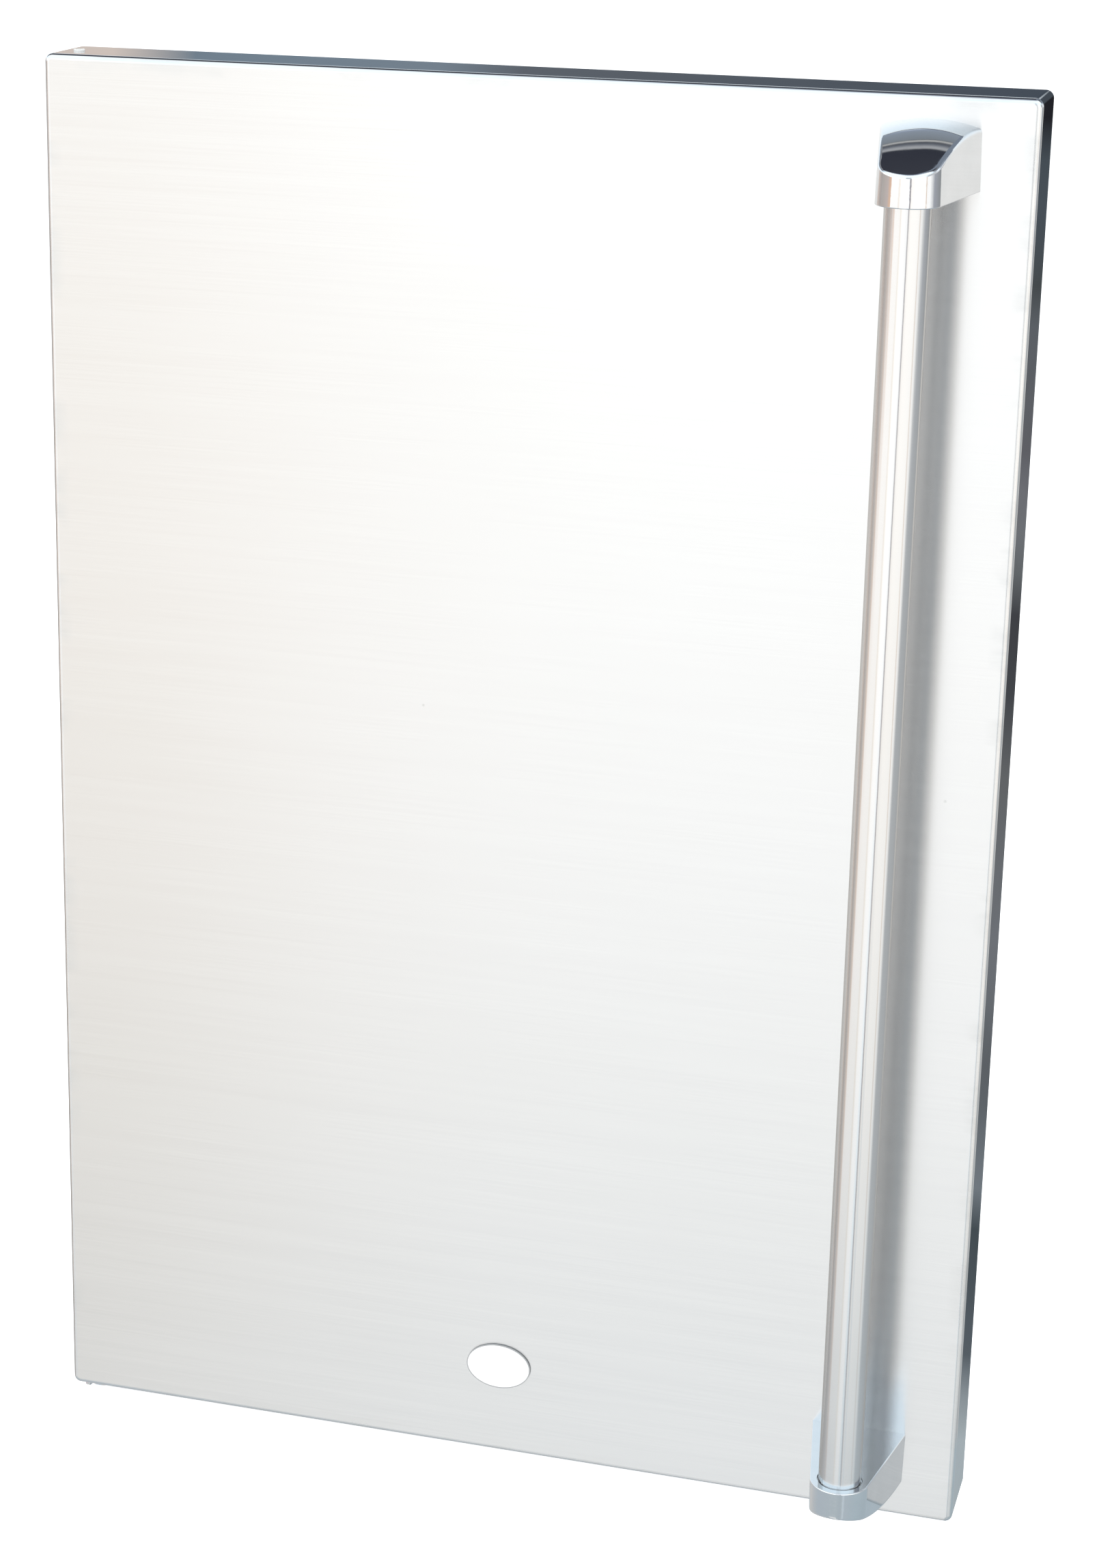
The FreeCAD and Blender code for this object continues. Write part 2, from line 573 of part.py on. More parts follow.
def make_handle_grub_screws():
    """One socket-head grub screw a bracket, on the hinge side of the nose, bearing on the tube."""
    tip = -TUBE_RADIUS - 0.02
    length = BRACKET_NOSE_RADIUS - TUBE_RADIUS - 0.9
    screws = []
    for place in (place_upper, place_lower):
        start = V(tip - length, -HANDLE_STANDOFF, grub_height())
        screw = cylinder(GRUB_RADIUS - FIT_GAP / 2, start, X_AXIS, length)
        socket = Part.Face(Part.makePolygon(hexagon(start, 1.0)))
        screws.append(place(screw.cut(socket.extrude(V(1.4, 0, 0)))))
    return screws


def hexagon(centre, radius):
    """Corner points of a closed hexagon facing along X."""
    turns = [math.radians(60 * i) for i in range(7)]
    return [centre + V(0, radius * math.cos(t), radius * math.sin(t)) for t in turns]


def washer_seat():
    """Depth of the face that the handle washers bear on."""
    return SKIN_INSIDE + FIT_GAP + BACKING_PLATE[2]


def make_handle_washers():
    washers = []
    for x, z in handle_screw_places():
        disc = cylinder(5.0, V(x, washer_seat(), z), Y_AXIS, 1.0)
        washers.append(disc.cut(cylinder(2.6, V(x, washer_seat() - 1, z), Y_AXIS, 3)))
    return washers


def make_handle_screws():
    screws = []
    for x, z in handle_screw_places():
        head_base = washer_seat() + 1.0
        head = cylinder(4.4, V(x, head_base, z), Y_AXIS, 3.2)
        head = head.makeFillet(1.2, edges_at(head, "y", head_base + 3.2))
        tip = DOOR_FRONT - HANDLE_SCREW_REACH
        shaft = cylinder(HANDLE_SCREW_RADIUS, V(x, tip, z), Y_AXIS, head_base - tip + 0.5)
        cross = fuse_all([
            box((x - 2.6, x + 2.6), (head_base + 1.6, head_base + 5), (z - 0.5, z + 0.5)),
            box((x - 0.5, x + 0.5), (head_base + 1.6, head_base + 5), (z - 2.6, z + 2.6)),
        ])
        screws.append(head.fuse(shaft).cut(cross))
    return screws


def backing_plate(z_centre):
    size_x, size_z, thickness = BACKING_PLATE
    low = SKIN_INSIDE + FIT_GAP
    x = (HANDLE_X - size_x / 2, HANDLE_X + size_x / 2)
    plate = box(x, (low, low + thickness), (z_centre - size_z / 2, z_centre + size_z / 2))
    plate = plate.makeFillet(4, [e for e in plate.Edges if abs(e.Length - thickness) < 1e-6])
    for side in (-BRACKET_SCREW_HALF_SPACING, BRACKET_SCREW_HALF_SPACING):
        plate = plate.cut(cylinder(2.75, V(HANDLE_X + side, low - 1, z_centre), Y_AXIS, thickness + 2))
    return plate


# ---------------------------------------------------------------- badge
def oval(semi_x, semi_z, y_low, y_high):
    ellipse = Part.Ellipse(V(BADGE_X, y_low, BADGE_Z), semi_x, semi_z)
    wire = Part.Wire(ellipse.toShape())
    wire.rotate(V(BADGE_X, y_low, BADGE_Z), X_AXIS, 90)
    return Part.Face(wire).extrude(V(0, y_high - y_low, 0))


def badge_depths():
    """Depths of the badge's front, its floor and its back."""
    back = DOOR_FRONT - BADGE_ADHESIVE
    return back - BADGE_THICKNESS, back - BADGE_FLOOR, back


def make_badge_adhesive():
    return oval(BADGE_SEMI_X - 1.5, BADGE_SEMI_Z - 1.5, badge_depths()[2], DOOR_FRONT)


def make_badge_bezel():
    front, floor, back = badge_depths()
    tray = oval(BADGE_SEMI_X, BADGE_SEMI_Z, front, back)
    return tray.cut(oval(BADGE_SEMI_X - BADGE_RIM, BADGE_SEMI_Z - BADGE_RIM, front - 1, floor))


def make_badge_insert():
    front, floor, _ = badge_depths()
    margin = BADGE_RIM + FIT_GAP / 2
    return oval(BADGE_SEMI_X - margin, BADGE_SEMI_Z - margin, front + 0.1, floor)


# ---------------------------------------------------------------- door racks
def rack_outline(inset, height, span, depth):
    """A horizontal face: square-ish corners by the panel, generous ones at the open side."""
    x_low, x_high = span[0] + inset, span[1] - inset
    y_low, y_high = depth[0] + inset, depth[1] - inset
    near, far = max(RACK_BACK_CORNER - inset, 1.0), RACK_CORNER - inset
    corners = [
        (x_low, y_low, 1, 1, near, True),
        (x_high, y_low, -1, 1, near, False),
        (x_high, y_high, -1, -1, far, True),
        (x_low, y_high, 1, -1, far, False),
    ]
    edges, previous, first = [], None, None
    for cx, cy, sx, sy, radius, from_side in corners:
        on_side, on_end = V(cx, cy + sy * radius, height), V(cx + sx * radius, cy, height)
        slack = radius * (1 - math.sqrt(0.5))
        middle = V(cx + sx * slack, cy + sy * slack, height)
        start, end = (on_side, on_end) if from_side else (on_end, on_side)
        if previous is None:
            first = start
        else:
            edges.append(Part.makeLine(previous, start))
        edges.append(Part.Arc(start, middle, end).toShape())
        previous = end
    edges.append(Part.makeLine(previous, first))
    return Part.Face(Part.Wire(edges))


def rack_spans(rack):
    """The rack's X span, Y span and (floor, rim) heights."""
    height, wall, deep = RACKS[rack]
    x = (DOOR_LEFT + CAVITY_INSET + RACK_SIDE_GAP, DOOR_RIGHT - CAVITY_INSET - RACK_SIDE_GAP)
    y = (LINER_BACK + RACK_BACK_GAP, LINER_BACK + deep)
    return x, y, (DOOR_BOTTOM + height, DOOR_BOTTOM + height + wall)


def lug_pocket(x_face, inward, rack):
    """The boss inside a rack's side wall and the pocket, open below and outwards, that drops over a lug."""
    z_low, z_high = rack_spans(rack)[2][0], lug_span(rack)[1]
    y_low = LINER_BACK + LUG_FROM_PANEL - LUG_GAP
    y_high = LINER_BACK + LUG_FROM_PANEL + LUG_WIDTH + LUG_GAP
    depth = LUG_REACH + LUG_GAP
    pocket_x = sorted((x_face - inward, x_face + inward * depth))
    boss_x = sorted((x_face + inward * RACK_WALL / 2, x_face + inward * (depth + BOSS_WALL)))
    boss = box(boss_x, (y_low - BOSS_WALL, y_high + BOSS_WALL), (z_low, z_high + LUG_GAP + BOSS_WALL))
    pocket = box(pocket_x, (y_low, y_high), (z_low - 1, z_high + LUG_GAP))
    return boss, pocket


def make_rack(rack):
    x, y, (floor, rim) = rack_spans(rack)
    outer = rack_outline(0, floor, x, y).extrude(V(0, 0, rim - floor))
    outer = outer.makeFillet(3.0, edges_at(outer, "z", floor))
    inner = rack_outline(RACK_WALL, floor + RACK_FLOOR, x, y).extrude(V(0, 0, rim - floor))
    inner = inner.makeFillet(1.5, edges_at(inner, "z", floor + RACK_FLOOR))
    proud, tall = RACK_RIM
    bead = rack_outline(-proud, rim - tall, x, y).extrude(V(0, 0, tall))
    beyond_dyke = LINER_BACK + DYKE_HEIGHT + 2.0
    bead = bead.common(box((x[0] - 5, x[1] + 5), (beyond_dyke, y[1] + 5), (rim - tall - 1, rim + 1)))
    left_boss, left_pocket = lug_pocket(x[0], 1, rack)
    right_boss, right_pocket = lug_pocket(x[1], -1, rack)
    tray = fuse_all([outer, bead]).cut(inner)
    return fuse_all([tray, left_boss, right_boss]).cut(left_pocket.fuse(right_pocket))


def make_bottle_rack():
    """The bottle rack carries two eye posts at its outer corners for the wire rail."""
    tray = make_rack("bottle_rack")
    x, y, (floor, rim) = rack_spans("bottle_rack")
    posts = []
    for side, inward in ((x[0], 1), (x[1], -1)):
        post_x = sorted((side, side + inward * 4.0))
        post_y = (y[1] - RACK_CORNER - 14.0, y[1] - RACK_CORNER - 2.0)
        post = box(post_x, post_y, (rim - 20.0, rim + RAIL_ABOVE_RIM + 6.0))
        posts.append(post.makeFillet(1.5, [e for e in post.Edges if abs(e.Length - 4.0) < 1e-6]))
    tray = fuse_all([tray] + posts)
    for side, inward in ((x[0], 1), (x[1], -1)):
        start = V(side - inward, rail_depths()[0], rail_height())
        tray = tray.cut(cylinder(RAIL_RADIUS + FIT_GAP, start, X_AXIS * inward, 8))
    return tray


def rail_height():
    return rack_spans("bottle_rack")[2][1] + RAIL_ABOVE_RIM


def rail_depths():
    """Depths of the rail's two ends and of its long straight run."""
    far = rack_spans("bottle_rack")[1][1]
    return far - RACK_CORNER - 8.0, far - RAIL_RADIUS - 1.0


def make_bottle_rack_rail():
    """A wire rail: its ends sit in the posts' eyes, it bends outwards and runs along the rack's open side."""
    x = rack_spans("bottle_rack")[0]
    near, far = rail_depths()
    z = rail_height()
    bend = min(RAIL_BEND, (far - near) / 2)
    left, right = x[0] + 0.5, x[1] - 0.5
    inner_left, inner_right = left + 4.0 + bend, right - 4.0 - bend
    slack = bend * (1 - math.sqrt(0.5))

    def arc(start, middle, end):
        return Part.Arc(V(*start, z), V(*middle, z), V(*end, z)).toShape()

    edges = [
        Part.makeLine(V(left, near, z), V(inner_left - bend, near, z)),
        arc((inner_left - bend, near), (inner_left - slack, near + slack), (inner_left, near + bend)),
        arc((inner_left, near + bend), (inner_left + slack, far - slack), (inner_left + bend, far)),
        Part.makeLine(V(inner_left + bend, far, z), V(inner_right - bend, far, z)),
        arc((inner_right - bend, far), (inner_right - slack, far - slack), (inner_right, near + bend)),
        arc((inner_right, near + bend), (inner_right + slack, near + slack), (inner_right + bend, near)),
        Part.makeLine(V(inner_right + bend, near, z), V(right, near, z)),
    ]
    path = Part.Wire(edges)
    section = Part.Wire(Part.Circle(V(left, near, z), X_AXIS, RAIL_RADIUS).toShape())
    return path.makePipeShell([section], True, False)


# ---------------------------------------------------------------- foam
def make_foam_core():
    """Rigid foam that fills the pan and the liner's ring, with room for everything buried in it."""
    slab = pan_block(SHEET + FIT_GAP)
    step = inset_slab(RETURN_FLANGE + FIT_GAP, CORNER_RADIUS, DOOR_BACK - SHEET - 1, DOOR_BACK - FIT_GAP)
    ring = make_liner_form(LINER_SHEET + FIT_GAP, DOOR_BACK - 2)
    foam = fuse_all([slab, step, ring])
    grow = 2 * FIT_GAP
    for z_centre in (LOWER_INNER - BRACKET_SCREW_FROM_INNER, UPPER_INNER + BRACKET_SCREW_FROM_INNER):
        half_x, half_z = BACKING_PLATE[0] / 2 + grow, BACKING_PLATE[1] / 2 + grow
        pocket_x = (HANDLE_X - half_x, HANDLE_X + half_x)
        pocket_z = (z_centre - half_z, z_centre + half_z)
        foam = foam.cut(box(pocket_x, (DOOR_FRONT, washer_seat() + grow), pocket_z))
    for x, z in handle_screw_places():
        foam = foam.cut(cylinder(5.0 + grow, V(x, DOOR_FRONT, z), Y_AXIS, washer_seat() + 4.4 - DOOR_FRONT))
    for x, z in liner_screw_places():
        foam = foam.cut(cylinder(1.5 + grow, V(x, LINER_BACK - 14, z), Y_AXIS, 20))
    edge_x = (DOOR_LEFT + SHEET + 3 - grow, DOOR_LEFT + SHEET + 3 + REINFORCEMENT_X + grow)
    edge_y = (HINGE_Y - REINFORCEMENT_Y / 2 - grow, HINGE_Y + REINFORCEMENT_Y / 2 + grow)
    thick = SHEET + FIT_GAP + REINFORCEMENT_THICKNESS + grow
    foam = foam.cut(box(edge_x, edge_y, (DOOR_BOTTOM, DOOR_BOTTOM + thick)))
    foam = foam.cut(box(edge_x, edge_y, (DOOR_TOP - thick, DOOR_TOP)))
    for low in (DOOR_BOTTOM, DOOR_TOP - BUSH_DEPTH - grow):
        foam = foam.cut(cylinder(BUSH_BODY_RADIUS + grow, V(HINGE_X, HINGE_Y, low), Z_AXIS, BUSH_DEPTH + grow))
    for x, y in stop_screw_places():
        foam = foam.cut(cylinder(1.95 + grow, V(x, y, DOOR_BOTTOM), Z_AXIS, 8 + grow))
    return foam


# ---------------------------------------------------------------- output
def build_nodes():
    """Every node's name with its shape, or its list of separate solids."""
    return {
        "door_skin": make_door_skin(),
        "foam_core": make_foam_core(),
        "inner_liner": make_inner_liner(),
        "gasket": make_gasket(),
        "gasket_magnets": make_gasket_magnets(),
        "liner_screws": make_liner_screws(),
        "upper_hinge_bush": make_upper_hinge_bush(),
        "lower_hinge_bush": make_lower_hinge_bush(),
        "upper_hinge_reinforcement": make_upper_hinge_reinforcement(),
        "lower_hinge_reinforcement": make_lower_hinge_reinforcement(),
        "door_stop": make_door_stop(),
        "door_stop_screws": make_door_stop_screws(),
        "hinge_plate": make_hinge_plate(),
        "hinge_pin": make_hinge_pin(),
        "hinge_washer": make_hinge_washer(),
        "handle_tube": make_handle_tube(),
        "upper_handle_bracket": place_upper(make_bracket()),
        "lower_handle_bracket": place_lower(make_bracket()),
        "handle_grub_screws": make_handle_grub_screws(),
        "handle_screws": make_handle_screws(),
        "handle_washers": make_handle_washers(),
        "upper_handle_backing_plate": backing_plate(UPPER_INNER + BRACKET_SCREW_FROM_INNER),
        "lower_handle_backing_plate": backing_plate(LOWER_INNER - BRACKET_SCREW_FROM_INNER),
        "badge_adhesive": make_badge_adhesive(),
        "badge_bezel": make_badge_bezel(),
        "badge_insert": make_badge_insert(),
        "top_rack": make_rack("top_rack"),
        "middle_rack": make_rack("middle_rack"),
        "bottle_rack": make_bottle_rack(),
        "bottle_rack_rail": make_bottle_rack_rail(),
    }


def main():
    os.makedirs("parts", exist_ok=True)
    for name, made in build_nodes().items():
        shape = Part.makeCompound(made) if isinstance(made, list) else made
        solids = shape.Solids
        if not shape.isValid() or not solids:
            raise ValueError(f"{name} is not a valid solid")
        result = solids[0] if len(solids) == 1 else Part.makeCompound(solids)
        result.exportStep(os.path.join("parts", name + ".step"))
        print(f"{name}: {len(solids)} solid(s), {shape.Volume / 1000:.2f} cm3")


main()
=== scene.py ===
"""Looks for the undercounter refrigerator door: camera, studio, materials and surface details."""

import math

import bpy
from mathutils import Matrix, Vector

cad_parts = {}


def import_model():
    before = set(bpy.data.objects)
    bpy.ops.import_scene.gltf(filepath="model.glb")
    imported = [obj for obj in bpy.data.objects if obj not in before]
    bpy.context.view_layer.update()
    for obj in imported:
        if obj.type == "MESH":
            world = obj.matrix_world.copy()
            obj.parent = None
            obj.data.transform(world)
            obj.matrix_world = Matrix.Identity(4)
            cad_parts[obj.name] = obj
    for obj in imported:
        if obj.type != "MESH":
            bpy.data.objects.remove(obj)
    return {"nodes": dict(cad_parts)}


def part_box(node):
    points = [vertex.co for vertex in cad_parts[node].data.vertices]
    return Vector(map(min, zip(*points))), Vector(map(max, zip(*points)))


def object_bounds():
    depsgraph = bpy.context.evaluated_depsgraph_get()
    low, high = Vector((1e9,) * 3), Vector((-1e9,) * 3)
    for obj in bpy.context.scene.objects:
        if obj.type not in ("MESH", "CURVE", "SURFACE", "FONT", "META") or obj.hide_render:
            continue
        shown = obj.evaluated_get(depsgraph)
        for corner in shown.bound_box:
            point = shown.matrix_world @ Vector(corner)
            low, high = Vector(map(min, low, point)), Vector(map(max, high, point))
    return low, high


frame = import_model()
cad_low, cad_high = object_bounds()
scene = bpy.context.scene

# ---------------------------------------------------------------- camera
# Places in metres, in the part's frame; the lens in millimetres.
CAMERA_POSITION = (0.65786, -1.64536, 0.92535)
CAMERA_TARGET = (0.20282, -0.0725, 0.42588)
CAMERA_ROLL_DEGREES = 0.92
CAMERA_SHIFT = (0.0478, -0.0404)
CAMERA_CLIP = (0.05, 100.0)
SENSOR_WIDTH_MM = 36.0
LENS_MM = 75.43


def make_camera():
    """A camera aimed at its target and rolled slightly about its line of sight."""
    position = Vector(CAMERA_POSITION)
    roll = math.radians(CAMERA_ROLL_DEGREES)
    back = (position - Vector(CAMERA_TARGET)).normalized()
    level_right = Vector((0, 0, 1)).cross(back).normalized()
    level_up = back.cross(level_right)
    right = level_right * math.cos(roll) + level_up * math.sin(roll)
    up = level_up * math.cos(roll) - level_right * math.sin(roll)
    data = bpy.data.cameras.new("camera")
    data.sensor_width = SENSOR_WIDTH_MM
    data.lens = LENS_MM
    data.shift_x, data.shift_y = CAMERA_SHIFT
    data.clip_start, data.clip_end = CAMERA_CLIP
    camera = bpy.data.objects.new("camera", data)
    scene.collection.objects.link(camera)
    camera.matrix_world = Matrix.Translation(position) @ Matrix((right, up, back)).transposed().to_4x4()
    scene.camera = camera


# ---------------------------------------------------------------- node helpers
class Tree:
    """Short calls that add nodes to a material's or world's node tree and return their output sockets."""

    def __init__(self, tree):
        self.nodes, self.links = tree.nodes, tree.links

    def put(self, kind, inputs=(), **settings):
        node = self.nodes.new(kind)
        for key, value in settings.items():
            setattr(node, key, value)
        for key, value in dict(inputs).items():
            self.feed(node.inputs[key], value)
        return node

    def feed(self, socket, value):
        if isinstance(value, bpy.types.NodeSocket):
            self.links.new(value, socket)
        else:
            socket.default_value = value

    def math(self, operation, first, second=0.0, third=None):
        inputs = {0: first, 1: second}
        if third is not None:
            inputs[2] = third
        return self.put("ShaderNodeMath", inputs, operation=operation).outputs[0]

    def ramp(self, factor, stops):
        """A colour ramp from pairs of a position and a linear colour."""
        node = self.put("ShaderNodeValToRGB", {"Fac": factor})
        ramp = node.color_ramp
        while len(ramp.elements) > 1:
            ramp.elements.remove(ramp.elements[-1])
        for index, (position, color) in enumerate(stops):
            element = ramp.elements[0] if index == 0 else ramp.elements.new(position)
            element.position = position
            element.color = (*color, 1.0)
        return node.outputs["Color"]

    def mix(self, factor, first, second, blend="MIX"):
        """Blends two colours, each a socket or an RGB tuple."""
        node = self.put("ShaderNodeMix", data_type="RGBA", blend_type=blend)
        for index, value in ((0, factor), (6, first), (7, second)):
            if isinstance(value, tuple) and len(value) == 3:
                value = (*value, 1.0)
            self.feed(node.inputs[index], value)
        return node.outputs[2]

    def span(self, value, low, high, to_low=0.0, to_high=1.0):
        """Maps low..high to to_low..to_high and holds the ends."""
        inputs = {"Value": value, "From Min": low, "From Max": high, "To Min": to_low, "To Max": to_high}
        return self.put("ShaderNodeMapRange", inputs, clamp=True).outputs["Result"]

    def place(self, scale):
        """Object coordinates, in metres, stretched by a scale on each axis."""
        coordinates = self.put("ShaderNodeTexCoord").outputs["Object"]
        return self.put("ShaderNodeMapping", {"Vector": coordinates, "Scale": scale}).outputs["Vector"]

    def noise(self, scale, detail=2.0, roughness=0.5):
        """Noise with a number of cells to the metre on each axis."""
        inputs = {"Vector": self.place(scale), "Scale": 1.0, "Detail": detail, "Roughness": roughness}
        return self.put("ShaderNodeTexNoise", inputs).outputs["Fac"]

    def bump(self, height, strength, distance):
        inputs = {"Height": height, "Strength": strength, "Distance": distance}
        return self.put("ShaderNodeBump", inputs).outputs["Normal"]


def material(name):
    """A new Principled material: its material, its tree helper and its shader's inputs."""
    made = bpy.data.materials.new(name)
    made.use_nodes = True
    shader = made.node_tree.nodes["Principled BSDF"]
    return made, Tree(made.node_tree), shader.inputs


# ---------------------------------------------------------------- studio
# The steel mirrors a procedural studio. Azimuths are in degrees: 0 is behind the door, 90 on its right and
# 180 in front. Elevations are above the horizon. Each table pairs an angle with the linear colour seen there.
WALLS_BY_AZIMUTH = (
    (-180, (1.90, 1.90, 1.90)), (-165, (1.84, 1.83, 1.81)), (-162, (1.80, 1.76, 1.72)),
    (-159, (1.68, 1.60, 1.51)), (-156, (1.54, 1.42, 1.29)), (-154.5, (1.50, 1.42, 1.31)),
    (-152.5, (1.70, 1.67, 1.63)), (-110, (1.68, 1.64, 1.60)), (-107, (1.30, 1.05, 0.90)),
    (-98, (1.02, 0.93, 0.86)), (-86, (0.72, 0.68, 0.66)), (-60, (0.58, 0.56, 0.54)),
    (-20, (0.45, 0.45, 0.46)), (14, (0.20, 0.22, 0.25)), (17, (1.15, 1.17, 1.20)),
    (29, (1.30, 1.28, 1.20)), (31, (0.40, 0.42, 0.43)), (72, (0.56, 0.59, 0.65)),
    (82, (1.10, 1.12, 1.14)), (92, (1.62, 1.62, 1.60)), (105, (1.62, 1.60, 1.58)),
    (107, (1.02, 0.74, 0.52)), (109.5, (1.70, 1.68, 1.64)), (150, (1.76, 1.72, 1.66)),
    (163, (1.66, 1.60, 1.54)), (164.3, (0.46, 0.44, 0.47)), (167.4, (0.62, 0.60, 0.63)),
    (169.3, (1.88, 1.88, 1.88)), (180, (1.90, 1.90, 1.90)),
)
WALLS_BY_ELEVATION = (
    (-60, (0.70, 0.715, 0.72)), (-30, (0.70, 0.715, 0.72)), (-27.5, (0.725, 0.74, 0.75)),
    (-24.5, (0.80, 0.81, 0.81)), (-20, (0.89, 0.885, 0.875)), (-16, (0.965, 0.95, 0.935)),
    (-11, (1.0, 0.995, 0.985)), (-8, (1.0, 1.0, 1.0)),
)
# Where the lower part of the walls gives way to the upper, and what differs in each part
WALL_SPLIT = (-10, -8.6)
RIGHT_LOW_SECTOR = ((28, 30), (84, 97))
RIGHT_LOW_WALL = (0.66, 0.69, 0.71)
LEFT_HIGH_SECTOR = ((-125, -123.5), (-88, -80))
LEFT_HIGH_WALL_BY_AZIMUTH = (
    (-124, (1.20, 0.80, 0.58)), (-116, (1.02, 0.76, 0.62)), (-112, (0.85, 0.74, 0.70)),
    (-86, (0.70, 0.64, 0.60)),
)
GROUND_BY_AZIMUTH = (
    (-180, (0.66, 0.75, 0.80)), (-100, (0.66, 0.74, 0.81)), (-48, (0.82, 0.82, 0.81)),
    (-20, (0.60, 0.66, 0.70)), (20, (0.56, 0.66, 0.73)), (100, (0.62, 0.74, 0.81)),
    (147, (0.66, 0.75, 0.82)), (152, (0.80, 0.91, 0.99)), (154, (0.80, 0.91, 0.99)),
    (159, (0.66, 0.74, 0.79)), (165, (0.62, 0.71, 0.77)), (180, (0.66, 0.75, 0.80)),
)
# The ground's upper limit in the sector that the face mirrors, and aside of it, where one post stands in it
ASIDE_FROM = (-152, -150)
MIRRORED_GROUND_BELOW = (-30.0, -29.6)
ASIDE_GROUND_BELOW = (-29.0, -28.7)
POST_SECTOR = ((149.5, 151), (155, 156.5))
POST_BELOW = (-24, -22)
NEAR_GROUND_BELOW = (-38, -33)
NEAR_GROUND = (1.15, 1.17, 1.18)
COOL_SECTOR = ((168, 170), (175, 179))
COOL_BELOW = (-22, -18)
COOL_TINT = (0.86, 1.0, 1.09)
COOL_SHARE = 0.75
YARD_SECTOR = ((-12, -8), (12, 15))
YARD_BY_ELEVATION = (
    (-60, (0.48, 0.54, 0.58)), (-28.3, (0.48, 0.55, 0.59)), (-27.9, (0.13, 0.155, 0.18)),
    (-25.3, (0.075, 0.095, 0.11)), (-24.9, (0.23, 0.265, 0.30)), (-22.8, (0.13, 0.145, 0.16)),
    (-20.6, (0.205, 0.22, 0.245)), (-17.6, (0.16, 0.168, 0.177)), (-16.2, (0.075, 0.08, 0.09)),
    (-14.6, (0.068, 0.07, 0.08)), (-14.1, (0.16, 0.175, 0.185)), (-12.9, (0.23, 0.24, 0.265)),
    (-12.2, (0.15, 0.152, 0.17)), (-9.8, (0.14, 0.155, 0.175)), (-8.8, (0.05, 0.06, 0.06)),
    (-8.3, (0.095, 0.115, 0.14)), (-7.0, (0.08, 0.10, 0.12)), (-6.5, (0.022, 0.022, 0.028)),
)
HORIZON = (-2.0, 1.0)
SKYLINE_BY_AZIMUTH = (
    (-60, (0.74, 0.67, 0.63)), (-21.95, (0.80, 0.70, 0.64)), (-21.75, (0.215, 0.285, 0.355)),
    (-16.9, (0.23, 0.29, 0.355)), (-16.5, (0.15, 0.17, 0.20)), (-6, (0.075, 0.095, 0.125)),
    (12, (0.08, 0.095, 0.115)), (20, (1.05, 1.10, 1.18)), (60, (1.10, 1.15, 1.22)),
)
SKY_BEHIND_BY_ELEVATION = (
    (6.2, (1.45, 1.62, 1.78)), (16, (1.60, 1.72, 1.80)), (25.0, (1.30, 1.50, 1.70)),
    (26.2, (0.40, 0.47, 0.60)), (28.5, (0.36, 0.42, 0.50)), (33, (0.33, 0.38, 0.44)),
    (37.0, (0.30, 0.34, 0.38)), (37.6, (0.12, 0.13, 0.15)), (38.1, (0.80, 0.80, 0.78)),
    (39.0, (0.56, 0.57, 0.58)), (39.5, (0.10, 0.11, 0.13)), (41.5, (0.20, 0.22, 0.26)),
    (43.6, (0.52, 0.54, 0.57)), (44.8, (0.60, 0.61, 0.63)), (45.4, (0.10, 0.11, 0.13)),
    (46.2, (0.05, 0.055, 0.075)), (60, (0.06, 0.065, 0.085)), (80, (0.08, 0.09, 0.12)),
    (90, (0.24, 0.29, 0.38)),
)
SKY_BEHIND_FROM = (8.6, 9.6)
# The bands of cloud bow down to the left of an azimuth, as a parabola up to a furthest share of a turn
BOW_START = -8
BOW_LIMIT = 0.045
BOW_CURVE = 12.8
DIM_SKY_SECTOR = ((3.5, 5), (40, 60))
DIM_SKY = (0.28, 0.33, 0.41)
SKY_IN_FRONT_FROM = (2.0, 5.0)
SKY_IN_FRONT_BY_ELEVATION = (
    (6, (2.15, 2.28, 2.36)), (14, (2.05, 2.22, 2.36)), (19.5, (1.85, 2.10, 2.30)),
    (24, (1.42, 1.76, 2.10)), (30, (1.42, 1.80, 2.04)), (40, (1.70, 1.85, 1.95)),
    (66, (1.60, 1.72, 1.80)), (76, (1.10, 1.25, 1.40)), (81, (0.40, 0.45, 0.55)),
    (90, (0.24, 0.29, 0.38)),
)
# Grey screens that only views from straight in front or from the side see mirrored
SCREEN_AHEAD_RIGHT = (160, 168)
SCREEN_AHEAD_LEFT = (-178, -174.5)
SCREEN_BESIDE_SECTOR = ((60, 75), (105, 120))
SCREEN_FOOT = (-4.5, -2.0)
SCREEN_TOP = (18.0, 30.0)
SCREEN = (0.84, 0.87, 0.90)
STUDIO_LEVEL = (0.87, 0.87, 0.87)
DIFFUSE_FILL = (0.62, 0.64, 0.66)
CAMERA_WHITE = (1.0, 1.0, 1.0)

# Name, position and size in metres, power in watts
LIGHTS = (
    ("key", (-1.4, -2.4, 2.6), (2.0, 2.0), 40),
    ("fill", (2.6, -1.2, 1.8), (2.0, 2.0), 20),
    ("rear", (-0.9, 2.6, 2.0), (1.6, 1.6), 9),
    ("overhead", (0.2, 0.0, 3.2), (3.0, 3.0), 30),
)
LIGHT_AIM = (0.22, -0.05, 0.4)

FLOOR_HALF_SIDE = 20.0
FLOOR_SQUARES = 20
FLOOR_GAP = 0.0008
FLOOR_GLOW = 0.75


def at_azimuth(degrees):
    """An azimuth's place on a ramp that goes once round."""
    return (degrees + 180) / 360


def at_elevation(degrees):
    """An elevation's place on a ramp from straight down to straight up."""
    return (degrees + 90) / 180


def around(tree, turn, table):
    """Colours by azimuth."""
    return tree.ramp(turn, [(at_azimuth(angle), color) for angle, color in table])


